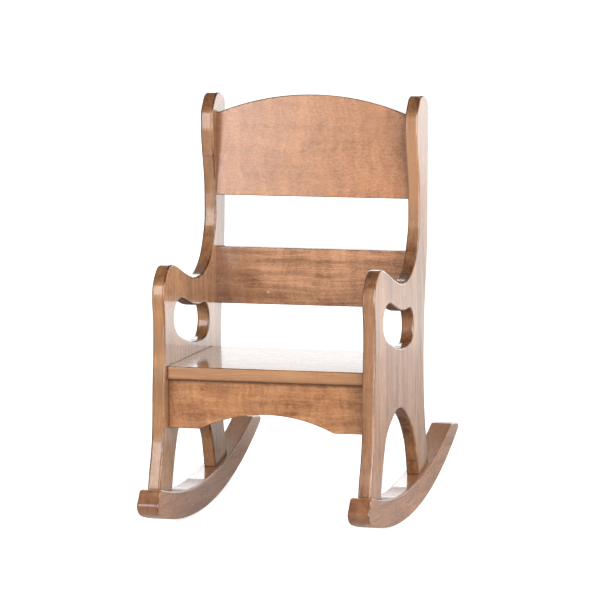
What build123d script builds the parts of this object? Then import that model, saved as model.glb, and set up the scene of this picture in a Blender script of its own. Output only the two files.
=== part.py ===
from build123d import *

import os
from math import atan2, degrees, radians, sin, sqrt, tan

# A child's rocking chair of solid boards. It is drawn standing level on its rockers and then
# tilted back to where it comes to rest. While it is level, x runs across the chair, y runs from
# front (minus) to back from the lowest point of the rockers, and z is the height off the floor.
# Everything is in millimetres.

# Stock and working allowances
BOARD = 19.05                   # thickness of every flat board
PANEL_ROUNDING = 3.0            # rounded edges of the side panels
SLAT_EASING = 1.4               # eased edges of slats, cleats and apron
SEAT_EASING = 2.0
FIT = 0.1                       # glue line and clearance round pins and curved joints

# Rockers
ROCKER_WIDTH = 33.0
ROCKER_HEIGHT = 41.4            # at the lowest point of the top curve
ROCKER_RADIUS = 716.0           # bottom curve
ROCKER_TAPER = 19.0             # the top curve's radius is this much larger
TOP_CURVE_OFFSET = 3.4          # the top curve sits a little further back
NOSE_DEPTH = 200.0              # nose in front of the lowest point
NOSE_LENGTH = 31.0              # how far the round of the nose reaches back
TAIL_DEPTH = 299.0              # where the level cut of the tail starts
TAIL_SLOPE = 7.0                # degrees, falling towards the tip
TAIL_SHOULDER_RADIUS = 10.0
TAIL_TIP_RADIUS = 5.6
ROCKER_ROUNDING = 3.0

# Seat, which the heights of the panels are counted from
SEAT_WIDTH = 299.0              # clear width between the side panels
SEAT_DEPTH = 236.0
SEAT_HEIGHT = 238.5             # top of the seat
SEAT_FRONT = -128.0

# Side panels, outside the arch between the legs
FOOT_FRONT = -170.5
FOOT_BACK = 192.5
LEG_FRONT = -135.0              # front edge just below the armrest
WAIST_BACK = 155.0              # back edge where it is furthest forward
WAIST_DROP = 17.5               # below the top of the seat
ARM_RISE = 146.8                # top of the scrolled end of the armrest above the seat
ARM_DIP = 33.6                  # how far the armrest falls behind the scroll
ARM_END = -95.0
ARM_LOW = 40.0
SCROLL_FRONT = -139.0
SCROLL_DROP = 46.0
THROAT_DROP = 85.3              # where the scroll runs out into the front leg
POST_RISE = 381.3               # top of the back post above the seat
POST_PEAK = 153.0
POST_BACK = 186.3
POST_FRONT = 130.8
HIP_DROP = 151.8                # where the front of the post starts to swell, from its top
WING_FRONT = 114.8              # front of the widened top of the back post
WING_DROP = 49.0
SHOULDER_DROP = 41.0

# Openings in the side panels
HOLE_DROP = 42.7                # wood between the armrest's low point and the hand hole
HOLE_HEIGHT = 53.8              # behind the hump that follows the armrest
HOLE_FRONT = -86.5
HOLE_BACK = 89.9
ARCH_HEIGHT = 167.6             # top of the arch between the legs
ARCH_PEAK = 3.0
ARCH_FRONT = -107.5
ARCH_BACK = 123.5

# Apron
APRON_HEIGHT = 72.8
APRON_SETBACK = 6.6             # apron behind the front edge of the seat
APRON_ARCH_RISE = 23.8
APRON_SHOULDER = 48.5           # straight ends of the apron's lower edge
APRON_SOFTENING = 12.0

# Back slats
LOWER_SLAT_RISE = 62.1          # above the top of the seat
LOWER_SLAT_HEIGHT = 86.3
LOWER_SLAT_SETBACK = 2.5        # front of the lower slat behind the front of the post
CREST_DROP = 155.1              # lower edge of the crest below the top of the posts
CREST_END_HEIGHT = 124.3
CREST_CROWN = 29.5              # rise of the crest's top in the middle
CREST_SETBACK = 3.7
CREST_LEAN = 4.0                # degrees back from the posts

# Dowels
SLAT_DOWEL_DIAMETER = 9.5
SLAT_DOWEL_LENGTH = 38.0
APRON_DOWEL_DIAMETER = 8.0
APRON_DOWEL_LENGTH = 32.0
FOOT_DOWEL_DIAMETER = 9.5
FOOT_DOWEL_LENGTH = 50.0
FOOT_DOWEL_SPACING = 17.0       # from a foot's screw to the dowel on each side of it
FRONT_FOOT_ANGLE = -10.9        # degrees round the rocker's curve
BACK_FOOT_ANGLE = 12.2
DOWEL_IN_PANEL = 12.0           # how deep a dowel enters the side panel
DOWEL_CHAMFER = 0.8
GLUE_WELL = 0.8                 # space left past the end of a dowel
CREST_DOWEL_HEIGHTS = (24.0, 62.0, 100.0)
LOWER_DOWEL_HEIGHTS = (22.0, 64.0)
APRON_DOWEL_HEIGHTS = (18.0, 54.0)

# Cleats, blocks and screws
CLEAT_SECTION = 19.0
CLEAT_LENGTH = 164.0
CLEAT_GAP = 8.0                 # between a glue block and the cleat behind it
BLOCK_SECTION = 19.0
BLOCK_LENGTH = 45.0
BLOCK_LIP = 3.0
CLEAT_SCREW_DIAMETER = 4.2
CLEAT_SCREW_HEAD = 8.2
CLEAT_SCREW_GRIP = 12.0         # how far it enters the seat or the panel
CLEAT_SCREW_SPACING = 62.0
ROCKER_SCREW_DIAMETER = 4.8
ROCKER_SCREW_HEAD = 9.2
ROCKER_SCREW_LENGTH = 60.0
HEAD_EDGE = 0.4                 # straight rim of a screw head
CROSS_WIDTH = 0.9               # cross recess in every screw head
CROSS_DEPTH = 1.3
PLUG_DIAMETER = 9.6
PLUG_LENGTH = 9.0
PLUG_RECESS = 0.4

# Weights in g/cm3, to find where the chair comes to rest
WOOD_DENSITY = 0.70
STEEL_DENSITY = 7.85

HALF_WIDTH = SEAT_WIDTH / 2
PANEL_MIDDLE = HALF_WIDTH + BOARD / 2
SEAT_UNDERSIDE = SEAT_HEIGHT - BOARD
ARM_HEIGHT = SEAT_HEIGHT + ARM_RISE
ARM_LOWEST = ARM_HEIGHT - ARM_DIP
POST_HEIGHT = SEAT_HEIGHT + POST_RISE
APRON_BOTTOM = SEAT_UNDERSIDE - APRON_HEIGHT
APRON_MIDDLE = SEAT_FRONT + APRON_SETBACK + BOARD / 2
BLOCK_FRONT = APRON_MIDDLE + BOARD / 2
CLEAT_FRONT = BLOCK_FRONT + BLOCK_SECTION + CLEAT_GAP
ROCKER_TOP_RADIUS = ROCKER_RADIUS + ROCKER_TAPER
BOTTOM_CENTRE = (0, ROCKER_RADIUS)
TOP_CENTRE = (TOP_CURVE_OFFSET, ROCKER_HEIGHT + ROCKER_TOP_RADIUS)
SIDES = (-1, 1)
STANDING = (Align.CENTER, Align.CENTER, Align.MIN)

# Places of the rails between the panels: x across, z up from the middle of the lower edge
CREST_PLACE = Pos(0, POST_FRONT + CREST_SETBACK + BOARD / 2, POST_HEIGHT - CREST_DROP) * Rot(X=-CREST_LEAN)
LOWER_PLACE = Pos(0, POST_FRONT + LOWER_SLAT_SETBACK + BOARD / 2, SEAT_HEIGHT + LOWER_SLAT_RISE)
APRON_PLACE = Pos(0, APRON_MIDDLE, APRON_BOTTOM)


# ---------------------------------------------------------------- drawing helpers

def side_view(x):
    """Sketch plane square to x, with y along its first axis and z along its second."""
    return Plane(origin=(x, 0, 0), x_dir=(0, 1, 0), z_dir=(1, 0, 0))


def circle_height(centre, radius, y):
    """Height of the underside of a circle at depth y."""
    return centre[1] - sqrt(radius**2 - (y - centre[0])**2)


def underside(centre, radius, y):
    """Point on the underside of a circle at depth y."""
    return (y, circle_height(centre, radius, y))


def steepness(centre, radius, y):
    """Slope of the underside of a circle at depth y."""
    return (y - centre[0]) / sqrt(radius**2 - (y - centre[0])**2)


def stretch(start, end, *shares, leaving, arriving):
    """Smooth curve between two points. What lies between is given in shares of the way along y and z."""
    inner = [(start[0] + y * (end[0] - start[0]), start[1] + z * (end[1] - start[1])) for y, z in shares]
    return Spline(start, *inner, end, tangents=(leaving, arriving))


# ---------------------------------------------------------------- pins and screws

def pin(diameter, length, hole=False):
    """Dowel standing on the origin, or the hole for it with room for glue at both ends."""
    if hole:
        return Pos(0, 0, -GLUE_WELL) * Cylinder(diameter / 2 + FIT, length + 2 * GLUE_WELL, align=STANDING)
    dowel = Cylinder(diameter / 2, length, align=STANDING)
    return chamfer(dowel.edges().filter_by(GeomType.CIRCLE), DOWEL_CHAMFER)


def screw(diameter, head, length, hole=False):
    """Countersunk cross-head screw standing on its head, or the hole for it."""
    spare = FIT if hole else 0
    shank = diameter / 2 + spare
    rim = head / 2 + spare
    cone = rim - shank
    outline = Polyline(
        (0, -spare), (rim, -spare), (rim, HEAD_EDGE), (shank, cone + HEAD_EDGE),
        (shank, length - diameter), (0, length + spare), close=True,
    )
    body = revolve(Plane.XZ * make_face(outline), Axis.Z)
    if hole:
        return body
    slot = Box(head * 0.55, CROSS_WIDTH, 2 * CROSS_DEPTH)
    return body - slot - Rot(Z=90) * slot


def sideways(side):
    """Turns a standing pin so that it points out through the panel on one side."""
    return Rot(Y=90 * side)


def rail_dowels(place, heights, diameter, length, hole=False):
    """Dowels across both end joints of a rail between the panels."""
    start = HALF_WIDTH + DOWEL_IN_PANEL - length
    dowel = pin(diameter, length, hole)
    return [
        place * Pos(side * start, 0, height) * sideways(side) * dowel
        for side in SIDES
        for height in heights
    ]


def foot_places(depth, offset=0):
    """Places on a radius of the rocker's curve under all four feet, z pointing up the leg."""
    return [
        Pos(side * PANEL_MIDDLE, 0, ROCKER_RADIUS) * Rot(X=angle) * Pos(0, offset, depth - ROCKER_RADIUS)
        for side in SIDES
        for angle in (FRONT_FOOT_ANGLE, BACK_FOOT_ANGLE)
    ]


def foot_dowels(hole=False):
    """Two dowels in each foot, half of each in the rocker."""
    angle = radians(BACK_FOOT_ANGLE)
    rise = circle_height(TOP_CENTRE, ROCKER_TOP_RADIUS, ROCKER_RADIUS * sin(angle))
    rise -= circle_height(BOTTOM_CENTRE, ROCKER_RADIUS, ROCKER_RADIUS * sin(angle))
    dowel = pin(FOOT_DOWEL_DIAMETER, FOOT_DOWEL_LENGTH, hole)
    spots = foot_places(rise - FOOT_DOWEL_LENGTH / 2, FOOT_DOWEL_SPACING)
    spots += foot_places(rise - FOOT_DOWEL_LENGTH / 2, -FOOT_DOWEL_SPACING)
    return [spot * dowel for spot in spots]


def foot_screws(hole=False):
    """A screw from under the rocker up into each foot."""
    body = screw(ROCKER_SCREW_DIAMETER, ROCKER_SCREW_HEAD, ROCKER_SCREW_LENGTH, hole)
    return [spot * body for spot in foot_places(PLUG_RECESS + PLUG_LENGTH + FIT)]


def foot_plugs():
    """The plug that covers each of those screws."""
    plug = Cylinder(PLUG_DIAMETER / 2, PLUG_LENGTH, align=STANDING)
    return [spot * plug for spot in foot_places(PLUG_RECESS)]


def plug_holes():
    """Counterbores for the screw heads and plugs, open underneath."""
    bore = Cylinder(PLUG_DIAMETER / 2 + FIT, PLUG_LENGTH + 3 * PLUG_RECESS + FIT, align=STANDING)
    return [spot * bore for spot in foot_places(-2 * PLUG_RECESS)]


def cleat_places(steps, in_from_panel, up_from_underside):
    """Places along both cleats, in steps of the screw spacing from the middle of their length."""
    middle = CLEAT_FRONT + CLEAT_LENGTH / 2
    return [
        (side, Pos(
            side * (HALF_WIDTH - in_from_panel),
            middle + step * CLEAT_SCREW_SPACING,
            SEAT_UNDERSIDE + up_from_underside,
        ))
        for side in SIDES
        for step in steps
    ]


def cleat_screws(hole=False):
    """Screws through both cleats into the panels."""
    body = screw(CLEAT_SCREW_DIAMETER, CLEAT_SCREW_HEAD, CLEAT_SECTION + CLEAT_SCREW_GRIP, hole)
    places = cleat_places((-1, 0, 1), CLEAT_SECTION, -CLEAT_SECTION / 2)
    return [place * sideways(side) * body for side, place in places]


def seat_screws(hole=False):
    """Screws up through both cleats into the seat, between the others."""
    body = screw(CLEAT_SCREW_DIAMETER, CLEAT_SCREW_HEAD, CLEAT_SECTION + CLEAT_SCREW_GRIP, hole)
    places = cleat_places((-0.5, 0.5), CLEAT_SECTION / 2, -CLEAT_SECTION)
    return [place * body for side, place in places]


crest_pegs = (CREST_PLACE, CREST_DOWEL_HEIGHTS, SLAT_DOWEL_DIAMETER, SLAT_DOWEL_LENGTH)
lower_pegs = (LOWER_PLACE, LOWER_DOWEL_HEIGHTS, SLAT_DOWEL_DIAMETER, SLAT_DOWEL_LENGTH)
apron_pegs = (APRON_PLACE, APRON_DOWEL_HEIGHTS, APRON_DOWEL_DIAMETER, APRON_DOWEL_LENGTH)


# ---------------------------------------------------------------- side panels

def panel_outline():
    """Front leg, armrest, back post, back leg and the arch between the legs, in one loop."""
    up, down = (0, 1), (0, -1)
    forward, back = (-1, 0), (1, 0)
    toe = (FOOT_FRONT, ROCKER_HEIGHT)
    throat = (LEG_FRONT, ARM_HEIGHT - THROAT_DROP)
    scroll = (SCROLL_FRONT, ARM_HEIGHT - SCROLL_DROP)
    arm_end = (ARM_END, ARM_HEIGHT)
    arm_low = (ARM_LOW, ARM_LOWEST)
    hip = (POST_FRONT, POST_HEIGHT - HIP_DROP)
    wing = (WING_FRONT, POST_HEIGHT - WING_DROP)
    peak = (POST_PEAK, POST_HEIGHT)
    shoulder = (POST_BACK, POST_HEIGHT - SHOULDER_DROP)
    waist = (WAIST_BACK, SEAT_HEIGHT - WAIST_DROP)
    heel = (FOOT_BACK, ROCKER_HEIGHT)
    arch_back = (ARCH_BACK, ROCKER_HEIGHT)
    arch_peak = (ARCH_PEAK, ARCH_HEIGHT)
    arch_front = (ARCH_FRONT, ROCKER_HEIGHT)
    return [
        stretch(
            toe, throat, (0.27, 0.17), (0.575, 0.29), (0.745, 0.427), (0.82, 0.63),
            leaving=(0.15, 1), arriving=up,
        ),
        stretch(throat, scroll, leaving=up, arriving=up),
        stretch(scroll, arm_end, (0.125, 0.5), (0.455, 0.837), leaving=up, arriving=back),
        stretch(arm_end, arm_low, (0.148, 0.104), (0.444, 0.52), (0.74, 0.878), leaving=back, arriving=back),
        stretch(
            arm_low, hip, (0.33, 0.043), (0.617, 0.155), (0.815, 0.335), (0.936, 0.524),
            leaving=back, arriving=up,
        ),
        stretch(hip, wing, leaving=up, arriving=up),
        stretch(wing, peak, (0.07, 0.5), (0.36, 0.786), leaving=up, arriving=back),
        stretch(peak, shoulder, (0.525, 0.066), (0.88, 0.256), leaving=back, arriving=down),
        stretch(
            shoulder, waist, (0.099, 0.229), (0.201, 0.458), (0.457, 0.628), (0.744, 0.757), (0.93, 0.897),
            leaving=down, arriving=down,
        ),
        stretch(waist, heel, (0.08, 0.35), (0.213, 0.532), (0.453, 0.71), leaving=down, arriving=(0.5, -1)),
        Line(heel, arch_back),
        stretch(
            arch_back, arch_peak, (0.079, 0.238), (0.145, 0.425), (0.27, 0.607), (0.51, 0.817),
            (0.776, 0.956), leaving=(-0.3, 1), arriving=forward,
        ),
        stretch(
            arch_peak, arch_front, (0.217, 0.04), (0.4525, 0.13), (0.624, 0.231), (0.747, 0.393),
            (0.86, 0.631), leaving=forward, arriving=(-0.35, -1),
        ),
        Line(arch_front, toe),
    ]


def hand_hole():
    """Kidney-shaped hole whose top follows the armrest, in shares of its length and height."""
    bottom = ARM_LOWEST - HOLE_DROP - HOLE_HEIGHT
    shares = [
        (0, 0.89), (0.026, 1.167), (0.099, 1.338), (0.2, 1.385), (0.337, 1.28), (0.48, 1.13),
        (0.626, 1.03), (0.774, 1), (0.916, 0.963), (0.975, 0.795), (1, 0.41), (0.964, 0.167),
        (0.864, 0.037), (0.694, 0), (0.468, 0.09), (0.264, 0.27), (0.105, 0.455), (0.031, 0.65),
    ]
    length = HOLE_BACK - HOLE_FRONT
    return Spline(*[(HOLE_FRONT + y * length, bottom + z * HOLE_HEIGHT) for y, z in shares], periodic=True)


def side_panel(side):
    """Leg, armrest and post of one side, sawn from one wide board, with its edges rounded."""
    blank = Face(Wire(panel_outline()), [Wire([hand_hole()])])
    board = extrude(side_view(HALF_WIDTH) * blank, BOARD, dir=(1, 0, 0), clean=False)
    faces = board.faces().filter_by(Axis.X)
    rims = [edge for edge in faces.edges() if edge.center().Z > ROCKER_HEIGHT + 0.1]
    board = fillet(rims, PANEL_ROUNDING)
    # both feet are coped to the curved top of the rocker
    cope = [underside(TOP_CENTRE, ROCKER_TOP_RADIUS - FIT, y) for y in (-NOSE_DEPTH, 0, TAIL_DEPTH)]
    below = Polyline(cope[2], (TAIL_DEPTH, 0), (-NOSE_DEPTH, 0), cope[0])
    board -= extrude(side_view(PANEL_MIDDLE) * make_face([ThreePointArc(*cope), below]), BOARD, both=True)
    board -= rail_dowels(*crest_pegs, hole=True)
    board -= rail_dowels(*lower_pegs, hole=True)
    board -= rail_dowels(*apron_pegs, hole=True)
    board -= foot_dowels(hole=True)
    board -= foot_screws(hole=True)
    board -= cleat_screws(hole=True)
    return board if side > 0 else mirror(board, Plane.YZ)


# ---------------------------------------------------------------- rockers

def rocker_outline():
    """Side view of a rocker: top curve, falling tail cut, bottom curve and round nose."""
    round_start = NOSE_LENGTH - NOSE_DEPTH
    top_start = underside(TOP_CENTRE, ROCKER_TOP_RADIUS, round_start)
    top_middle = underside(TOP_CENTRE, ROCKER_TOP_RADIUS, TAIL_DEPTH / 3)
    top_end = underside(TOP_CENTRE, ROCKER_TOP_RADIUS, TAIL_DEPTH)
    tip = TAIL_DEPTH
    fall = tan(radians(TAIL_SLOPE))
    for _ in range(30):
        gap = top_end[1] - fall * (tip - TAIL_DEPTH) - circle_height(BOTTOM_CENTRE, ROCKER_RADIUS, tip)
        tip += gap
    tip_point = underside(BOTTOM_CENTRE, ROCKER_RADIUS, tip)
    bottom_middle = underside(BOTTOM_CENTRE, ROCKER_RADIUS, tip / 3)
    bottom_start = 0.8 * NOSE_LENGTH - NOSE_DEPTH
    bottom_end = underside(BOTTOM_CENTRE, ROCKER_RADIUS, bottom_start)
    height = top_start[1] - bottom_end[1]
    nose = Spline(
        bottom_end,
        (0.135 * NOSE_LENGTH - NOSE_DEPTH, bottom_end[1] + 0.25 * height),
        (-NOSE_DEPTH, bottom_end[1] + 0.47 * height),
        (0.31 * NOSE_LENGTH - NOSE_DEPTH, bottom_end[1] + 0.81 * height),
        top_start,
        tangents=(
            (-1, -steepness(BOTTOM_CENTRE, ROCKER_RADIUS, bottom_start)),
            (1, steepness(TOP_CENTRE, ROCKER_TOP_RADIUS, round_start)),
        ),
    )
    return [
        ThreePointArc(top_start, top_middle, top_end),
        Line(top_end, tip_point),
        ThreePointArc(tip_point, bottom_middle, bottom_end),
        nose,
    ]


def rocker(side):
    """One rocker, centred under its side panel."""
    blank = make_face(rocker_outline())
    corners = blank.vertices().sort_by(Axis.X)
    blank = fillet(corners[-1], TAIL_TIP_RADIUS)
    shoulder = blank.vertices().sort_by_distance(underside(TOP_CENTRE, ROCKER_TOP_RADIUS, TAIL_DEPTH))[0]
    blank = fillet(shoulder, TAIL_SHOULDER_RADIUS)
    beam = extrude(side_view(PANEL_MIDDLE - ROCKER_WIDTH / 2) * blank, ROCKER_WIDTH)
    beam = fillet(beam.faces().filter_by(Axis.X).edges(), ROCKER_ROUNDING)
    beam = beam - foot_dowels(hole=True) - foot_screws(hole=True) - plug_holes()
    return beam if side > 0 else mirror(beam, Plane.YZ)


# ---------------------------------------------------------------- seat and back

def seat_board():
    """Flat board between the panels, its front and back edges eased."""
    board = Pos(0, SEAT_FRONT, SEAT_UNDERSIDE) * Box(
        SEAT_WIDTH, SEAT_DEPTH, BOARD, align=(Align.CENTER, Align.MIN, Align.MIN)
    )
    board = fillet(board.edges().filter_by(Axis.X), SEAT_EASING)
    return board - seat_screws(hole=True)


def rail(outline, bottom_edges_only=False):
    """Board between the panels from its front view, standing on its lower edge."""
    front = Plane.XZ * make_face(outline)
    board = extrude(front, BOARD / 2, both=True)
    ends = [edge for edge in board.edges() if abs(edge.center().X) > HALF_WIDTH - 0.01]
    flat = [edge for edge in board.edges() if edge not in ends and abs(edge.center().Y) > 0.01]
    if bottom_edges_only:
        flat = [edge for edge in flat if edge.center().Z < APRON_HEIGHT - 0.01]
    return fillet(flat, SLAT_EASING)


def front_apron():
    """Rail under the front of the seat, with a shallow arch in its lower edge."""
    foot = HALF_WIDTH - APRON_SHOULDER
    arch = ThreePointArc((foot, 0), (0, APRON_ARCH_RISE), (-foot, 0))
    sides = Polyline(
        (-foot, 0), (-HALF_WIDTH, 0), (-HALF_WIDTH, APRON_HEIGHT),
        (HALF_WIDTH, APRON_HEIGHT), (HALF_WIDTH, 0), (foot, 0),
    )
    face = make_face(arch.edges() + sides.edges())
    corners = [vertex for vertex in face.vertices() if abs(abs(vertex.X) - foot) < 0.01]
    face = fillet(corners, APRON_SOFTENING)
    board = APRON_PLACE * rail(face.edges(), bottom_edges_only=True)
    return board - rail_dowels(*apron_pegs, hole=True)


def crest_slat():
    """Top board of the back, arched along its top, leaning back a little."""
    crown = CREST_END_HEIGHT + CREST_CROWN
    top = ThreePointArc((HALF_WIDTH, CREST_END_HEIGHT), (0, crown), (-HALF_WIDTH, CREST_END_HEIGHT))
    sides = Polyline(
        (-HALF_WIDTH, CREST_END_HEIGHT), (-HALF_WIDTH, 0), (HALF_WIDTH, 0), (HALF_WIDTH, CREST_END_HEIGHT)
    )
    board = CREST_PLACE * rail(top.edges() + sides.edges())
    return board - rail_dowels(*crest_pegs, hole=True)


def lower_slat():
    """Straight lower board of the back."""
    face = Pos(0, LOWER_SLAT_HEIGHT / 2) * Rectangle(SEAT_WIDTH, LOWER_SLAT_HEIGHT)
    board = LOWER_PLACE * rail(face.edges())
    return board - rail_dowels(*lower_pegs, hole=True)


# ---------------------------------------------------------------- under the seat

def seat_cleat(side):
    """Strip in the corner of seat and panel, screwed to both."""
    strip = Box(CLEAT_SECTION, CLEAT_LENGTH, CLEAT_SECTION, align=(Align.MAX, Align.MIN, Align.MAX))
    strip = Pos(HALF_WIDTH, CLEAT_FRONT, SEAT_UNDERSIDE) * strip
    inner = strip.edges().filter_by(Axis.Y).sort_by(Axis.X)[:2].sort_by(Axis.Z)[0]
    strip = chamfer(inner, SLAT_EASING)
    strip = strip - cleat_screws(hole=True) - seat_screws(hole=True)
    return strip if side > 0 else mirror(strip, Plane.YZ)


def apron_glue_block(side):
    """Three-cornered block glued behind the apron, against the panel and the seat."""
    corner = Polyline(
        (0, 0), (-BLOCK_SECTION, 0), (-BLOCK_SECTION, BLOCK_LIP), (-BLOCK_LIP, BLOCK_SECTION),
        (0, BLOCK_SECTION), close=True,
    )
    block = extrude(make_face(corner), BLOCK_LENGTH, dir=(0, 0, 1))
    block = Pos(HALF_WIDTH, BLOCK_FRONT, SEAT_UNDERSIDE - BLOCK_LENGTH) * block
    return block if side > 0 else mirror(block, Plane.YZ)


# ---------------------------------------------------------------- assembly

wooden = {
    "side_panel_left": [side_panel(-1)],
    "side_panel_right": [side_panel(1)],
    "rocker_left": [rocker(-1)],
    "rocker_right": [rocker(1)],
    "seat_board": [seat_board()],
    "front_apron": [front_apron()],
    "crest_slat": [crest_slat()],
    "lower_slat": [lower_slat()],
    "seat_cleat_left": [seat_cleat(-1)],
    "seat_cleat_right": [seat_cleat(1)],
    "apron_glue_block_left": [apron_glue_block(-1)],
    "apron_glue_block_right": [apron_glue_block(1)],
    "crest_dowels": rail_dowels(*crest_pegs),
    "lower_slat_dowels": rail_dowels(*lower_pegs),
    "apron_dowels": rail_dowels(*apron_pegs),
    "rocker_dowels": foot_dowels(),
    "rocker_plugs": foot_plugs(),
}
steel = {
    "cleat_screws": cleat_screws(),
    "seat_screws": seat_screws(),
    "rocker_screws": foot_screws(),
}


def compound(pieces, place):
    """The pieces' solids as one group, moved to a place."""
    return Compound([place * solid for piece in pieces for solid in piece.solids()])


# The chair rolls back until its centre of mass hangs straight below the centre of the rockers.
heavy = [(piece, WOOD_DENSITY * piece.volume) for pieces in wooden.values() for piece in pieces]
heavy += [(piece, STEEL_DENSITY * piece.volume) for pieces in steel.values() for piece in pieces]
total = sum(weight for _, weight in heavy)
mass_y = sum(weight * piece.center(CenterOf.MASS).Y for piece, weight in heavy) / total
mass_z = sum(weight * piece.center(CenterOf.MASS).Z for piece, weight in heavy) / total
rest_tilt = degrees(atan2(mass_y, ROCKER_RADIUS - mass_z))
rest = Pos(0, 0, ROCKER_RADIUS) * Rot(X=-rest_tilt) * Pos(0, 0, -ROCKER_RADIUS)

# The origin goes on the floor under the middle of the whole chair.
box = compound([piece for piece, _ in heavy], rest).bounding_box()
rest = Pos(0, -box.center().Y, 0) * rest
print(f"rest tilt {rest_tilt:.3f} degrees, shifted {-box.center().Y:.3f} mm in y")

os.makedirs("parts", exist_ok=True)
for name, pieces in (wooden | steel).items():
    export_step(compound(pieces, rest), f"parts/{name}.step")
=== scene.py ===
from math import radians

import bpy
from mathutils import Euler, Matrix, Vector


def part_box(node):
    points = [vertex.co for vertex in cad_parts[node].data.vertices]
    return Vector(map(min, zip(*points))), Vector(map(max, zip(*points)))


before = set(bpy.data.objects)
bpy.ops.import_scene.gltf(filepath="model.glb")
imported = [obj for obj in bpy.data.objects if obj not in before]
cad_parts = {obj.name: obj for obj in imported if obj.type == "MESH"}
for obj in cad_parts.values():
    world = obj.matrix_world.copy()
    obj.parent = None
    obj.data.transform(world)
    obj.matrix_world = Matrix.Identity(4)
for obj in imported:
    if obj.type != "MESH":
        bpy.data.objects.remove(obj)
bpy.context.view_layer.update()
bpy.ops.object.select_all(action="DESELECT")
scene = bpy.context.scene

# ---------------------------------------------------------------- the view
# A long lens a good seven metres away, looking a little down on the chair from in front
# and from the right. It sees the outside of one side panel and the inside of the other.

bpy.ops.object.camera_add(
    location=(1.88565, -6.63329, 1.81339),
    rotation=(radians(77.7456), radians(1.7347), radians(15.4572)),
)
camera = bpy.context.object
camera.name = "camera"
camera.data.sensor_width = 36
camera.data.lens = 283.97
camera.data.clip_end = 50
scene.camera = camera
scene.view_settings.view_transform = "Standard"

# ---------------------------------------------------------------- the studio
# White paper on the floor in a white room, both brighter behind the chair than in front.
# A round soft lamp with a tall hot middle stands close by on the left, two wide ones stand
# on the right, and a broad one and a long low one light the chair from behind.


def put(tree, kind, **settings):
    node = tree.nodes.new("ShaderNode" + kind)
    for setting, value in settings.items():
        setattr(node, setting, value)
    return node


def feed(tree, socket, value):
    """Joins an output to a socket, or sets the socket to a plain value."""
    if isinstance(value, bpy.types.NodeSocket):
        tree.links.new(value, socket)
    else:
        socket.default_value = value


def maths(tree, operation, *values):
    node = put(tree, "Math", operation=operation)
    for socket, value in zip(node.inputs, values):
        feed(tree, socket, value)
    return node.outputs[0]


def spread(tree, value, start, stop, low=0.0, high=1.0):
    """A smooth step of value from low at start to high at stop."""
    node = put(tree, "MapRange", interpolation_type="SMOOTHSTEP")
    for socket, number in zip(node.inputs, (value, start, stop, low, high)):
        feed(tree, socket, number)
    return node.outputs["Result"]


def mix_numbers(tree, factor, first, second):
    node = put(tree, "Mix", data_type="FLOAT")
    feed(tree, node.inputs["Factor"], factor)
    feed(tree, node.inputs["A"], first)
    feed(tree, node.inputs["B"], second)
    return node.outputs["Result"]


def mix_colors(tree, factor, first, second, **settings):
    """A mix of two colours, whose sockets come after those for numbers and vectors."""
    node = put(tree, "Mix", data_type="RGBA", **settings)
    first_color, second_color = node.inputs[6:8]
    feed(tree, node.inputs["Factor"], factor)
    feed(tree, first_color, first)
    feed(tree, second_color, second)
    return node.outputs[2]


# the paper shines for the camera, so that it stays white, and in stops along its length
# where the chair mirrors it
bpy.ops.mesh.primitive_plane_add(size=60, location=(0, 0, 0))
floor = bpy.context.object
floor.name = "floor"

paper = bpy.data.materials.new("white_paper")
paper.use_nodes = True
tree = paper.node_tree
matt = tree.nodes["Principled BSDF"]
feed(tree, matt.inputs["Roughness"], 0.9)
feed(tree, matt.inputs["Specular IOR Level"], 0.0)
feed(tree, matt.inputs["Emission Color"], (1, 1, 1, 1))
rays = put(tree, "LightPath").outputs
where = put(tree, "TexCoord")
apart = put(tree, "SeparateXYZ")
feed(tree, apart.inputs[0], where.outputs["Object"])

glow_length = 3.0      # metres of paper behind the chair that the stops are shares of
glow_behind = (
    (0.03, 0.18), (0.1, 0.0), (0.2, 0.3), (0.32, 0.62), (0.39, 1.25), (0.45, 1.3), (0.53, 1.05), (0.78, 1.1),
    (1.0, 1.55),
)
behind = put(tree, "ValToRGB")
feed(tree, behind.inputs[0], maths(tree, "DIVIDE", apart.outputs["Y"], glow_length))
stops = behind.color_ramp.elements
stops[0].position, stops[1].position = glow_behind[0][0], glow_behind[-1][0]
for share, glow in glow_behind[1:-1]:
    stops.new(share)
for stop, (share, glow) in zip(stops, glow_behind):
    stop.color = (glow, glow, glow, 1)
slant = maths(tree, "MULTIPLY_ADD", apart.outputs["Y"], -0.3, apart.outputs["X"])
beside = spread(tree, slant, -0.15, 0.1, 1.0, 0.5)
bright = maths(tree, "MULTIPLY", behind.outputs["Color"], beside)
mirrored = maths(tree, "MULTIPLY", bright, rays["Is Glossy Ray"])
white_paper, mirrored_paper = (0.9, 0.9, 0.9, 1), (0.35, 0.35, 0.35, 1)
feed(tree, matt.inputs["Base Color"], mix_colors(tree, rays["Is Glossy Ray"], white_paper, mirrored_paper))
camera_glow = 0.7
shine = maths(tree, "MULTIPLY_ADD", rays["Is Camera Ray"], camera_glow, mirrored)
feed(tree, matt.inputs["Emission Strength"], shine)
floor.data.materials.append(paper)

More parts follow.
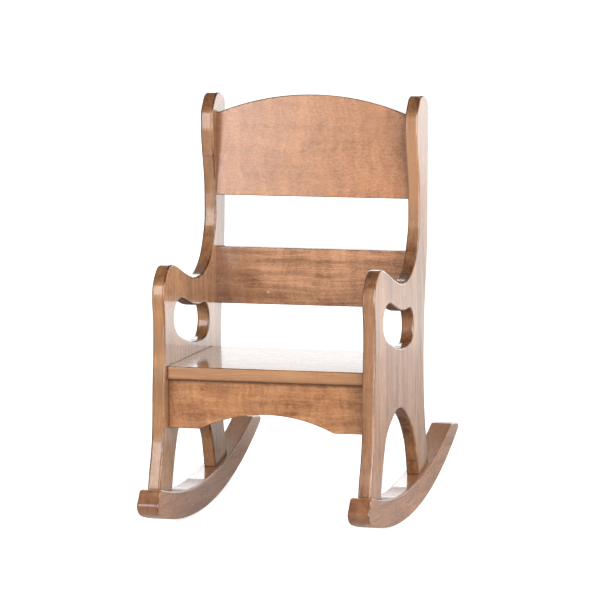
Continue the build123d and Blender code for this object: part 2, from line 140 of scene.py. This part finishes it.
# the room is white for the camera, even for diffuse light, and graded where the chair
# mirrors it
world = bpy.data.worlds.new("white_studio")
scene.world = world
world.use_nodes = True
tree = world.node_tree
sky = tree.nodes["Background"]
feed(tree, sky.inputs["Color"], (1, 1, 1, 1))
rays = put(tree, "LightPath").outputs
where = put(tree, "TexCoord")
apart = put(tree, "SeparateXYZ")
feed(tree, apart.inputs[0], where.outputs["Generated"])
behind = spread(tree, apart.outputs["Y"], 0.1, 0.85, 0.16, 0.95)
low = spread(tree, apart.outputs["Z"], 0.06, 0.2, 1.0, 0.3)
mirrored = maths(tree, "MULTIPLY", behind, low)
plain_room, seen_room = 0.5, 1.0
room = mix_numbers(tree, rays["Is Glossy Ray"], plain_room, mirrored)
room = mix_numbers(tree, rays["Is Camera Ray"], room, seen_room)
feed(tree, sky.inputs["Strength"], room)

for name, place, turn, shape, size, watts in (
    ("soft_lamp", (-0.62, -1.2, 0.85), (62, 0, -26), "DISK", (1.0, 1.0), 1.4),
    ("soft_lamp_middle", (-0.67, -1.19, 0.8), (62, 0, -26), "ELLIPSE", (0.52, 0.98), 6.8),
    ("side_lamp", (2.4, -0.7, 1.1), (72, 0, 74), "RECTANGLE", (1.8, 1.8), 60),
    ("fill_lamp", (1.6, -2.3, 0.9), (78, 0, 35), "RECTANGLE", (2.2, 1.8), 37),
    ("back_lamp", (-1.2, 3.4, 1.25), (90, 0, 180), "RECTANGLE", (2.8, 1.0), 26),
    ("low_back_lamp", (-0.3, 3.5, 0.42), (90, 0, 180), "RECTANGLE", (4.0, 0.6), 2.2),
):
    bpy.ops.object.light_add(type="AREA", location=place, rotation=[radians(angle) for angle in turn])
    lamp = bpy.context.object
    lamp.name = name
    lamp.data.shape = shape
    lamp.data.size, lamp.data.size_y = size
    lamp.data.energy = watts
    lamp.visible_camera = False

# ---------------------------------------------------------------- side panels
# Each side is one panel: leg, armrest and post together, sawn from a wide board glued
# up of upright staves of a pale close-grained hardwood. It is stained light brown, its
# edges are rounded over, and it has several coats of clear gloss lacquer.


def vectors(tree, operation, *values):
    node = put(tree, "VectorMath", operation=operation)
    for socket, value in zip(node.inputs, values):
        feed(tree, socket, value)
    return node.outputs["Value" if operation in ("LENGTH", "DOT_PRODUCT") else "Vector"]


def speckle(tree, place, scale, detail, roughness=0.5):
    """Noise of its own fineness along each axis, per metre."""
    node = put(tree, "TexNoise")
    feed(tree, node.inputs["Vector"], vectors(tree, "MULTIPLY", place, scale))
    feed(tree, node.inputs["Scale"], 1.0)
    feed(tree, node.inputs["Detail"], detail)
    feed(tree, node.inputs["Roughness"], roughness)
    return node.outputs[0]


def new_group(name, inputs, outputs):
    """A shader node group with those sockets, and its input and output nodes."""
    tree = bpy.data.node_groups.new(name, "ShaderNodeTree")
    for label, value in inputs.items():
        kind = {3: "Vector", 4: "Color"}.get(len(value) if isinstance(value, tuple) else 1, "Float")
        socket = tree.interface.new_socket(label, in_out="INPUT", socket_type="NodeSocket" + kind)
        socket.default_value = value
    for label, kind in outputs.items():
        tree.interface.new_socket(label, in_out="OUTPUT", socket_type="NodeSocket" + kind)
    return tree, tree.nodes.new("NodeGroupInput").outputs, tree.nodes.new("NodeGroupOutput").inputs


def build_stained_grain():
    """Stained wood. In its own space z runs along the fibres, x across the board, y through it."""
    tree, given, result = new_group(
        "stained_grain",
        {
            "Place": (0.0, 0.0, 0.0), "Facing": (0.0, 0.0, 1.0),
            "Light Stain": (0.5, 0.23, 0.1, 1.0), "Dark Stain": (0.3, 0.12, 0.045, 1.0),
            "Stave Width": 0.4, "Stave Tone": 0.0, "Heart Depth": 0.09,
            "Ring Width": 0.006, "Rings": 0.25, "Cloud": 0.35, "Bands": 0.3, "Fibre": 0.6,
            "Fleck": 0.25, "Curl": 0.2, "Pores": 0.25, "End Grain": 0.45,
            "Dark Edges": 0.3, "Dark Sides": 0.0,
        },
        {"Color": "Color", "Roughness": "Float", "Gloss": "Float", "Height": "Float"},
    )

    # which stave, how far from its middle, and how near to a glue joint
    apart = put(tree, "SeparateXYZ")
    feed(tree, apart.inputs[0], given["Place"])
    count = maths(tree, "ADD", maths(tree, "DIVIDE", apart.outputs["X"], given["Stave Width"]), 0.5)
    stave = maths(tree, "FLOOR", count)
    part_way = maths(tree, "SUBTRACT", maths(tree, "SUBTRACT", count, stave), 0.5)
    across = maths(tree, "MULTIPLY", part_way, given["Stave Width"])
    to_joint = maths(tree, "SUBTRACT", 0.5, maths(tree, "ABSOLUTE", part_way))
    joint = spread(tree, maths(tree, "MULTIPLY", to_joint, given["Stave Width"]), 0.0006, 0.0)
    lot = put(tree, "TexWhiteNoise", noise_dimensions="1D")
    feed(tree, lot.inputs["W"], stave)
    own = put(tree, "CombineXYZ")
    feed(tree, own.inputs["X"], across)
    feed(tree, own.inputs["Y"], apart.outputs["Y"])
    feed(tree, own.inputs["Z"], apart.outputs["Z"])
    own = vectors(tree, "MULTIPLY_ADD", lot.outputs["Color"], (0.0, 0.06, 9.0), own.outputs[0])
    bend = put(tree, "TexNoise")
    feed(tree, bend.inputs["Vector"], vectors(tree, "MULTIPLY", own, (14.0, 14.0, 6.0)))
    feed(tree, bend.inputs["Scale"], 1.0)
    feed(tree, bend.inputs["Detail"], 2.0)
    own = vectors(tree, "MULTIPLY_ADD", bend.outputs["Color"], (0.016, 0.016, 0.05), own)

    # growth rings round a wandering heart line that lies behind the board
    drift = put(tree, "TexNoise")
    feed(tree, drift.inputs["Vector"], vectors(tree, "MULTIPLY", own, (8.0, 8.0, 2.6)))
    feed(tree, drift.inputs["Scale"], 1.0)
    feed(tree, drift.inputs["Detail"], 3.0)
    heart = put(tree, "CombineXYZ")
    feed(tree, heart.inputs["Y"], given["Heart Depth"])
    round_heart = vectors(tree, "ADD", vectors(tree, "MULTIPLY", own, (1.0, 1.0, 0.02)), heart.outputs[0])
    round_heart = vectors(tree, "MULTIPLY_ADD", drift.outputs["Color"], (0.1, 0.1, 0.0), round_heart)
    years = maths(tree, "DIVIDE", vectors(tree, "LENGTH", round_heart), given["Ring Width"])
    season = maths(tree, "FRACT", years)
    late = maths(tree, "MULTIPLY", spread(tree, season, 0.1, 0.85), spread(tree, season, 1.0, 0.88))
    growth = put(tree, "TexWhiteNoise", noise_dimensions="1D")
    feed(tree, growth.inputs["W"], maths(tree, "FLOOR", years))
    late = maths(tree, "MULTIPLY", late, maths(tree, "MULTIPLY_ADD", growth.outputs["Value"], 0.8, 0.4))

    # stain that took unevenly, bands and fibres, small flecks beside them, and pores
    cloud = spread(tree, speckle(tree, own, (38.0, 38.0, 13.0), 5.0, 0.62), 0.3, 0.7)
    band = spread(tree, speckle(tree, own, (75.0, 75.0, 2.2), 2.0, 0.6), 0.34, 0.66)
    fibre = spread(tree, speckle(tree, own, (620.0, 620.0, 17.0), 2.0, 0.6), 0.34, 0.66)
    streak = spread(tree, speckle(tree, own, (230.0, 230.0, 6.0), 2.0, 0.6), 0.34, 0.66)
    fleck = spread(tree, speckle(tree, own, (450.0, 450.0, 240.0), 2.0, 0.6), 0.36, 0.64)
    curl = spread(tree, speckle(tree, own, (20.0, 20.0, 95.0), 3.0, 0.6), 0.34, 0.66)
    pore = spread(tree, speckle(tree, own, (1700.0, 1700.0, 110.0), 1.0), 0.66, 0.73)
    both = maths(tree, "MULTIPLY", maths(tree, "ADD", fibre, streak), 0.5)

    # where the surface cuts across the fibres, and where it turns round an edge
    facing = put(tree, "SeparateXYZ")
    feed(tree, facing.inputs[0], given["Facing"])
    end = spread(tree, maths(tree, "ABSOLUTE", facing.outputs["Z"]), 0.12, 0.9)
    end = maths(tree, "MULTIPLY", end, maths(tree, "MULTIPLY_ADD", cloud, 0.3, 0.85))
    turned = maths(tree, "ABSOLUTE", facing.outputs["Y"])
    cut = spread(tree, turned, 0.8, 0.3)
    edge = maths(tree, "MULTIPLY", spread(tree, turned, 0.15, 0.5), spread(tree, turned, 0.98, 0.86))
    uneven = spread(tree, speckle(tree, own, (60.0, 60.0, 60.0), 3.0), 0.25, 0.55, 0.4, 1.0)
    edge = maths(tree, "MULTIPLY", edge, uneven)

    # halfway between the two stains, made lighter or darker by each of these, less so on the sides
    dark = maths(tree, "MULTIPLY_ADD", late, given["Rings"], 0.5)
    for share, amount in (
        (cloud, given["Cloud"]), (band, given["Bands"]), (both, given["Fibre"]),
        (fleck, given["Fleck"]), (curl, given["Curl"]), (lot.outputs["Value"], given["Stave Tone"]),
    ):
        dark = maths(tree, "MULTIPLY_ADD", maths(tree, "SUBTRACT", share, 0.5), amount, dark)
    even = maths(tree, "MULTIPLY_ADD", cut, -0.5, 1.0)
    dark = maths(tree, "MULTIPLY_ADD", maths(tree, "SUBTRACT", dark, 0.5), even, 0.5)
    for share, amount in (
        (pore, given["Pores"]), (end, given["End Grain"]), (joint, 0.35),
        (edge, given["Dark Edges"]), (cut, given["Dark Sides"]),
    ):
        dark = maths(tree, "MULTIPLY_ADD", share, amount, dark)
    stain = mix_colors(tree, dark, given["Light Stain"], given["Dark Stain"], clamp_factor=False)
    feed(tree, result["Color"], stain)

    rough = maths(tree, "MULTIPLY_ADD", both, 0.05, 0.24)
    rough = maths(tree, "MULTIPLY_ADD", end, 0.1, rough)
    feed(tree, result["Roughness"], maths(tree, "MULTIPLY_ADD", cut, 0.12, rough))
    feed(tree, result["Gloss"], maths(tree, "MULTIPLY_ADD", cut, -0.15, 1.0))
    peel = speckle(tree, own, (140.0, 140.0, 140.0), 2.0)
    height = maths(tree, "MULTIPLY_ADD", both, 0.4, maths(tree, "MULTIPLY", peel, 0.3))
    feed(tree, result["Height"], maths(tree, "SUBTRACT", height, maths(tree, "MULTIPLY", pore, 0.8)))
    return tree


stained_grain = build_stained_grain()


def build_small_mark():
    """A soft-edged mark, from a pin knot or a filled nail hole to a wide patch of painted reflection."""
    tree, given, result = new_group(
        "mark_and_painted_patch",
        {"Place": (0.0, 0.0, 0.0), "Centre": (0.0, 0.0, 0.0), "Stretch": (1.0, 1.0, 1.0), "Radius": 0.002},
        {"Mask": "Float"},
    )
    away = vectors(tree, "SUBTRACT", given["Place"], given["Centre"])
    away = vectors(tree, "MULTIPLY", away, given["Stretch"])
    away = maths(tree, "DIVIDE", vectors(tree, "LENGTH", away), given["Radius"])
    away = maths(tree, "MULTIPLY_ADD", speckle(tree, given["Place"], (900.0, 900.0, 900.0), 2.0), 0.5, away)
    feed(tree, result["Mask"], spread(tree, away, 1.45, 0.75))
    return tree


mark_and_painted_patch = build_small_mark()
lacquer_index = 1.5      # of the lacquer, and of the wood that it has soaked into


def stained_board(
    node, turn, light, dark, gloss=1.0, haze=0.07, relief=0.06, shift=(0.0, 0.0, 0.0), marks_and_painted_patches=(), **shares
):
    """Stained and lacquered wood for one node. turn brings its fibres upright, in degrees."""
    material = bpy.data.materials.new("wood_of_" + node)
    material.use_nodes = True
    tree = material.node_tree
    shader = tree.nodes["Principled BSDF"]
    turned = [radians(angle) for angle in turn]
    middle = sum(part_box(node), Vector()) / 2
    where = put(tree, "TexCoord")
    place = put(tree, "Mapping")
    feed(tree, place.inputs["Vector"], where.outputs["Object"])
    feed(tree, place.inputs["Rotation"], turned)
    feed(tree, place.inputs["Location"], Vector(shift) - Euler(turned).to_matrix() @ middle)
    facing = put(tree, "Mapping", vector_type="VECTOR")
    feed(tree, facing.inputs["Vector"], where.outputs["Normal"])
    feed(tree, facing.inputs["Rotation"], turned)
    grain = put(tree, "Group", node_tree=stained_grain)
    feed(tree, grain.inputs["Place"], place.outputs[0])
    feed(tree, grain.inputs["Facing"], facing.outputs[0])
    feed(tree, grain.inputs["Light Stain"], (*light, 1.0))
    feed(tree, grain.inputs["Dark Stain"], (*dark, 1.0))
    for share, value in shares.items():
        feed(tree, grain.inputs[share.replace("_", " ").title()], value)
    color = grain.outputs["Color"]
    for centre, stretch, radius, tint, strength in marks_and_painted_patches:
        mark = put(tree, "Group", node_tree=mark_and_painted_patch)
        feed(tree, mark.inputs["Place"], where.outputs["Object"])
        feed(tree, mark.inputs["Centre"], centre)
        feed(tree, mark.inputs["Stretch"], stretch)
        feed(tree, mark.inputs["Radius"], radius)
        amount = maths(tree, "MULTIPLY", mark.outputs["Mask"], strength)
        color = mix_colors(tree, amount, color, (*tint, 1.0))
    feed(tree, shader.inputs["Base Color"], color)
    feed(tree, shader.inputs["Roughness"], grain.outputs["Roughness"])
    bump = put(tree, "Bump")
    feed(tree, bump.inputs["Strength"], relief)
    feed(tree, bump.inputs["Distance"], 0.0001)
    feed(tree, bump.inputs["Height"], grain.outputs["Height"])
    feed(tree, shader.inputs["Normal"], bump.outputs[0])
    feed(tree, shader.inputs["IOR"], lacquer_index)
    feed(tree, shader.inputs["Coat Weight"], maths(tree, "MULTIPLY", grain.outputs["Gloss"], gloss))
    feed(tree, shader.inputs["Coat Roughness"], haze)
    feed(tree, shader.inputs["Coat IOR"], lacquer_index)
    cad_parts[node].material_slots[0].material = material


lean = 5.34      # degrees that the chair leans back, standing on its rockers
upright = (lean, 0, -90)
knot = (0.09, 0.035, 0.015)

# each mark has its middle, stretch, radius, tint and strength; the four wide ones are painted
# reflections, dark and pale, on the front edges of the panels, and only bring the tone nearer
# to the photograph
stained_board(
    "side_panel_left", upright, light=(0.43, 0.205, 0.083), dark=(0.205, 0.087, 0.03),
    stave_width=0.082, stave_tone=0.25, shift=(0.012, 0.0, 0.0), cloud=0.25, bands=0.5, fibre=0.75,
    dark_edges=0.8, dark_sides=0.08,
    marks_and_painted_patches=[
        # painted reflections on the left panel's front edge: two dark patches and a pale one
        ((-0.162, -0.187, 0.295), (1, 2, 0.8), 0.022, (0.18, 0.09, 0.033), 0.35),
        ((-0.158, -0.194, 0.205), (1, 2, 0.4), 0.022, (0.16, 0.07, 0.024), 0.5),
        ((-0.166, -0.189, 0.258), (1.6, 2, 1), 0.012, (0.55, 0.3, 0.15), 0.4),
    ],
)
stained_board(
    "side_panel_right", upright, light=(0.41, 0.205, 0.1), dark=(0.205, 0.09, 0.037),
    stave_width=0.082, stave_tone=0.25, shift=(0.02, 0.0, 4.0), cloud=0.25, bands=0.7, fibre=0.8,
    dark_edges=0.5, dark_sides=0.27,
    marks_and_painted_patches=[
        # painted highlight on the front of the right post
        ((0.165, 0.085, 0.5), (1, 2, 0.45), 0.045, (0.5, 0.25, 0.12), 0.5),
        ((0.1685, 0.1273, 0.5524), (1, 1, 0.7), 0.0018, knot, 0.9),
    ],
)


def lay_over(node, group, color, strength, dull, rougher=0.0, **places):
    """Tints a board where a group's mask is 1, takes some of its gloss away and roughens it."""
    tree = bpy.data.materials["wood_of_" + node].node_tree
    shader = tree.nodes["Principled BSDF"]
    where = put(tree, "TexCoord").outputs
    over = put(tree, "Group", node_tree=group)
    feed(tree, over.inputs["Place"], where["Object"])
    if "Facing" in over.inputs:
        feed(tree, over.inputs["Facing"], where["Normal"])
    for label, value in places.items():
        feed(tree, over.inputs[label.title()], value)
    mask = over.outputs["Mask"]
    plain = shader.inputs["Base Color"].links[0].from_socket
    amount = maths(tree, "MULTIPLY", mask, strength)
    feed(tree, shader.inputs["Base Color"], mix_colors(tree, amount, plain, (*color, 1.0)))
    if rougher:
        rough = shader.inputs["Roughness"].links[0].from_socket
        feed(tree, shader.inputs["Roughness"], maths(tree, "MULTIPLY_ADD", mask, rougher, rough))
    coat = shader.inputs["Coat Weight"].links[0].from_socket
    kept = maths(tree, "MULTIPLY_ADD", mask, -dull, 1.0)
    feed(tree, shader.inputs["Coat Weight"], maths(tree, "MULTIPLY", coat, kept))


def build_hand_wear():
    """How far a point is into the painted shade on the down-facing wall under the top of a hand hole."""
    tree, given, result = new_group(
        "hole_shade",
        {"Place": (0.0, 0.0, 0.0), "Facing": (0.0, 0.0, 1.0), "Centre": (0.0, 0.0, 0.0), "Radius": 0.08},
        {"Mask": "Float"},
    )
    away = vectors(tree, "SUBTRACT", given["Place"], given["Centre"])
    flat = vectors(tree, "MULTIPLY", away, (0.0, 1.0, 1.0))
    reach = maths(tree, "DIVIDE", vectors(tree, "LENGTH", flat), given["Radius"])
    facing = put(tree, "SeparateXYZ")
    feed(tree, facing.inputs[0], given["Facing"])
    patches = spread(tree, speckle(tree, given["Place"], (90.0, 90.0, 90.0), 3.0), 0.3, 0.6, 0.8, 1.0)
    amount = maths(tree, "MULTIPLY", spread(tree, facing.outputs["Z"], -0.2, -0.6), patches)
    feed(tree, result["Mask"], maths(tree, "MULTIPLY", amount, spread(tree, reach, 1.0, 0.9)))
    return tree


hole_shade = build_hand_wear()
# painted shade under the top of each hand hole, where the lacquer is also dulled and roughened
hand_hole_middle, hand_reach, hole_shade_tint = (0.0, -0.05, 0.3), 0.1, (0.13, 0.055, 0.022)
for side in ("left", "right"):
    lay_over(
        "side_panel_" + side, hole_shade, hole_shade_tint, strength=0.7, dull=0.95, rougher=0.35,
        centre=hand_hole_middle, radius=hand_reach,
    )

# ---------------------------------------------------------------- rockers
# Two runners bandsawn from thicker plain boards, so that the fibres run straight through
# the curve and come out as end grain at the nose and the tail. Stained and lacquered
# like the panels. Underneath, the floor has rubbed the lacquer dull and pale.

front_to_back = (90 + lean, 0, 90)
for side, start in (("left", 0.0), ("right", 3.0)):
    stained_board(
        "rocker_" + side, front_to_back, light=(0.42, 0.185, 0.078), dark=(0.21, 0.084, 0.032),
        shift=(0.0, 0.0, start), heart_depth=0.05, rings=0.2, end_grain=0.5, dark_sides=0.05,
    )


def build_floor_scuff():
    """How far a point is into the worn strip along the underside of a runner."""
    tree, given, result = new_group(
        "floor_scuff",
        {"Place": (0.0, 0.0, 0.0), "Centre": (0.0, 0.0, 0.0), "Radius": 0.7, "Depth": 0.002},
        {"Mask": "Float"},
    )
    away = vectors(tree, "SUBTRACT", given["Place"], given["Centre"])
    flat = vectors(tree, "MULTIPLY", away, (0.0, 1.0, 1.0))
    out = maths(tree, "SUBTRACT", vectors(tree, "LENGTH", flat), given["Radius"])
    worn = maths(tree, "ADD", out, given["Depth"])
    patches = speckle(tree, given["Place"], (90.0, 26.0, 90.0), 5.0, 0.65)
    lines = speckle(tree, given["Place"], (900.0, 22.0, 22.0), 3.0, 0.6)
    amount = maths(tree, "MULTIPLY", spread(tree, patches, 0.36, 0.62), spread(tree, lines, 0.25, 0.6))
    feed(tree, result["Mask"], maths(tree, "MULTIPLY", amount, spread(tree, worn, 0.0, 0.0016)))
    return tree


def build_foot_line():
    """The line of painted shade on a foot where it meets the curved top of the runner."""
    tree, given, result = new_group(
        "foot_line",
        {"Place": (0.0, 0.0, 0.0), "Centre": (0.0, 0.0, 0.0), "Radius": 0.7, "Width": 0.002},
        {"Mask": "Float"},
    )
    away = vectors(tree, "SUBTRACT", given["Place"], given["Centre"])
    flat = vectors(tree, "MULTIPLY", away, (0.0, 1.0, 1.0))
    above = maths(tree, "SUBTRACT", given["Radius"], vectors(tree, "LENGTH", flat))
    feed(tree, result["Mask"], spread(tree, maths(tree, "DIVIDE", above, given["Width"]), 1.0, 0.2))
    return tree


# the runners roll on a circle, and their tops follow a wider one that sits further back
rocking_middle, rocking_radius, scuffed = (0.0, -0.0124, 0.716), 0.716, (0.46, 0.33, 0.22)
tops_middle, tops_radius, foot_shade = (0.0, -0.0034, 0.7758), 0.735, (0.09, 0.035, 0.014)
floor_scuff = build_floor_scuff()
foot_line = build_foot_line()
for side in ("left", "right"):
    lay_over(
        "rocker_" + side, floor_scuff, scuffed, strength=0.75, dull=0.85, rougher=0.4,
        centre=rocking_middle, radius=rocking_radius, depth=0.0018,
    )
    # painted shade where each foot meets its runner
    lay_over(
        "side_panel_" + side, foot_line, foot_shade, strength=0.85, dull=0.7,
        centre=tops_middle, radius=tops_radius, width=0.0028,
    )

# ---------------------------------------------------------------- seat
# One board between the side panels, glued up of three pieces, its front edge rounded
# over. It rests on the apron and on cleats screwed to the panels.

stained_board(
    "seat_board", (lean, -90, -90), light=(0.455, 0.227, 0.103), dark=(0.26, 0.118, 0.047),
    relief=0.002, stave_width=0.084, stave_tone=0.15, fibre=1.0, dark_edges=0.8,
)


def build_pooled_stain():
    """An uneven strip of painted shade that grows from start to stop along one direction."""
    tree, given, result = new_group(
        "painted_shade_strip",
        {"Place": (0.0, 0.0, 0.0), "Along": (1.0, 0.0, 0.0), "Start": 0.0, "Stop": 1.0},
        {"Mask": "Float"},
    )
    reach = vectors(tree, "DOT_PRODUCT", given["Place"], given["Along"])
    strip = spread(tree, reach, given["Start"], given["Stop"])
    uneven = maths(tree, "MULTIPLY_ADD", speckle(tree, given["Place"], (120.0, 120.0, 120.0), 3.0), 0.6, 0.7)
    feed(tree, result["Mask"], maths(tree, "MULTIPLY", strip, uneven))
    return tree


def paint_shade_strip(node, along, start, stop, strength, dull=0.0):
    """Darkens a strip of a board with painted shade, where the photograph shows it darker."""
    darkest = (0.1, 0.038, 0.014)
    lay_over(node, painted_shade_strip, darkest, strength, dull, along=along, start=start, stop=stop)


painted_shade_strip = build_pooled_stain()
chair_up, chair_down = (0, 0.0931, 0.9957), (0, -0.0931, -0.9957)
left, right = (-1, 0, 0), (1, 0, 0)
# painted shade in the joints where the seat meets the panels
for end in (left, right):
    paint_shade_strip("seat_board", end, start=0.1465, stop=0.1482, strength=0.95, dull=0.95)
# painted shade under the seat's front edge: the edge darkens downwards, and so does the underside, which the
# photograph doesn't show
paint_shade_strip("seat_board", chair_down, start=-0.2215, stop=-0.2155, strength=0.45, dull=0.3)

# ---------------------------------------------------------------- apron
# A board on edge under the front of the seat, with a low arch sawn in its lower edge and
# its ends dowelled into the legs. A pin knot shows near its left end.

across = (lean, -90, 180)
stained_board(
    "front_apron", across, light=(0.475, 0.22, 0.093), dark=(0.25, 0.098, 0.035),
    shift=(0.0, 0.0, 7.0), cloud=0.5, fibre=0.5, fleck=0.35, bands=0.1, curl=0.35,
    dark_edges=1.0, dark_sides=0.6, marks_and_painted_patches=[((-0.0977, -0.1809, 0.2184), (1, 1, 1.3), 0.0021, knot, 0.85)],
)
# painted shade along the top of the apron under the seat's overhang, and in the joints at both ends
paint_shade_strip("front_apron", chair_up, start=0.2085, stop=0.214, strength=0.85, dull=0.5)
for end in (left, right):
    paint_shade_strip("front_apron", end, start=0.1468, stop=0.1485, strength=0.95, dull=0.6)

# ---------------------------------------------------------------- back slats
# A tall crest with a bowed top, leaning a little further back than the posts, and a
# plain lower slat. Both are flat boards with eased edges, dowelled between the panels.
# A pale mark of a pin shows in the lower one.

crest_lean = 4.0
stained_board(
    "crest_slat", (lean + crest_lean, -90, 180), light=(0.53, 0.242, 0.111), dark=(0.285, 0.12, 0.052),
    gloss=0.5, haze=0.24, shift=(0.0, 0.0, 1.7), rings=0.1, cloud=0.2, bands=0.0, fibre=0.3,
    fleck=0.5, curl=0.35, dark_edges=1.2, dark_sides=0.6,
)
# painted shade at both ends of the crest, where it meets the posts
paint_shade_strip("crest_slat", left, start=0.139, stop=0.1495, strength=0.55, dull=0.3)
paint_shade_strip("crest_slat", right, start=0.128, stop=0.15, strength=0.3)

pin_mark = (0.85, 0.68, 0.55)
stained_board(
    "lower_slat", across, light=(0.59, 0.302, 0.162), dark=(0.32, 0.147, 0.067),
    gloss=0.85, shift=(0.0, 0.0, 2.6), rings=0.2, cloud=0.5, bands=0.2, fibre=0.9, fleck=0.35, curl=0.35,
    dark_edges=1.2, dark_sides=0.6, marks_and_painted_patches=[((-0.0691, 0.0834, 0.3087), (0.6, 1, 1), 0.0016, pin_mark, 0.6)],
)
# painted shadow of the left panel over the left part of the lower slat
paint_shade_strip("lower_slat", left, start=0.04, stop=0.145, strength=0.46, dull=0.15)

# ---------------------------------------------------------------- cleats and glue blocks
# Square strips screwed to the panels under the seat, and two three-cornered blocks glued
# behind the apron. They are stained with the rest but only sealed, so they are duller.

sealed_light, sealed_dark = (0.42, 0.19, 0.08), (0.26, 0.1, 0.036)
for node, turn in (("seat_cleat_", front_to_back), ("apron_glue_block_", (lean, 0, 0))):
    for side in ("left", "right"):
        stained_board(node + side, turn, sealed_light, sealed_dark, gloss=0.3, pores=0.5)

# ---------------------------------------------------------------- dowels and plugs
# Turned pins that hold the slats, the apron and the feet, hidden in the joints, and the
# plugs under the rockers that cover the screw heads. The plugs took the stain darkest.

bare_light, bare_dark = (0.7, 0.5, 0.31), (0.52, 0.34, 0.19)
for node, turn in (
    ("crest_dowels", across), ("lower_slat_dowels", across), ("apron_dowels", across),
    ("rocker_dowels", (lean, 0, 0)),
):
    stained_board(node, turn, bare_light, bare_dark, gloss=0.0, end_grain=0.15)
stained_board(
    "rocker_plugs", front_to_back, light=(0.34, 0.14, 0.055), dark=(0.18, 0.065, 0.024), gloss=0.6,
)

# ---------------------------------------------------------------- screws
# Countersunk cross-head wood screws of bright zinc-plated steel, in the cleats, the seat
# and up through the rockers. Plating is cloudy.


def zinc_plate(node):
    material = bpy.data.materials.new("zinc_of_" + node)
    material.use_nodes = True
    tree = material.node_tree
    shader = tree.nodes["Principled BSDF"]
    where = put(tree, "TexCoord")
    cloudy = spread(tree, speckle(tree, where.outputs["Object"], (420.0, 420.0, 420.0), 4.0, 0.6), 0.3, 0.7)
    turned = speckle(tree, where.outputs["Object"], (2600.0, 2600.0, 2600.0), 2.0)
    bright, dulled = (0.66, 0.65, 0.61, 1.0), (0.5, 0.48, 0.43, 1.0)
    feed(tree, shader.inputs["Base Color"], mix_colors(tree, cloudy, bright, dulled))
    feed(tree, shader.inputs["Metallic"], 1.0)
    feed(tree, shader.inputs["Roughness"], maths(tree, "MULTIPLY_ADD", cloudy, 0.18, 0.26))
    bump = put(tree, "Bump")
    feed(tree, bump.inputs["Strength"], 0.2)
    feed(tree, bump.inputs["Distance"], 0.0001)
    feed(tree, bump.inputs["Height"], turned)
    feed(tree, shader.inputs["Normal"], bump.outputs[0])
    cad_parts[node].material_slots[0].material = material


for node in ("cleat_screws", "seat_screws", "rocker_screws"):
    zinc_plate(node)
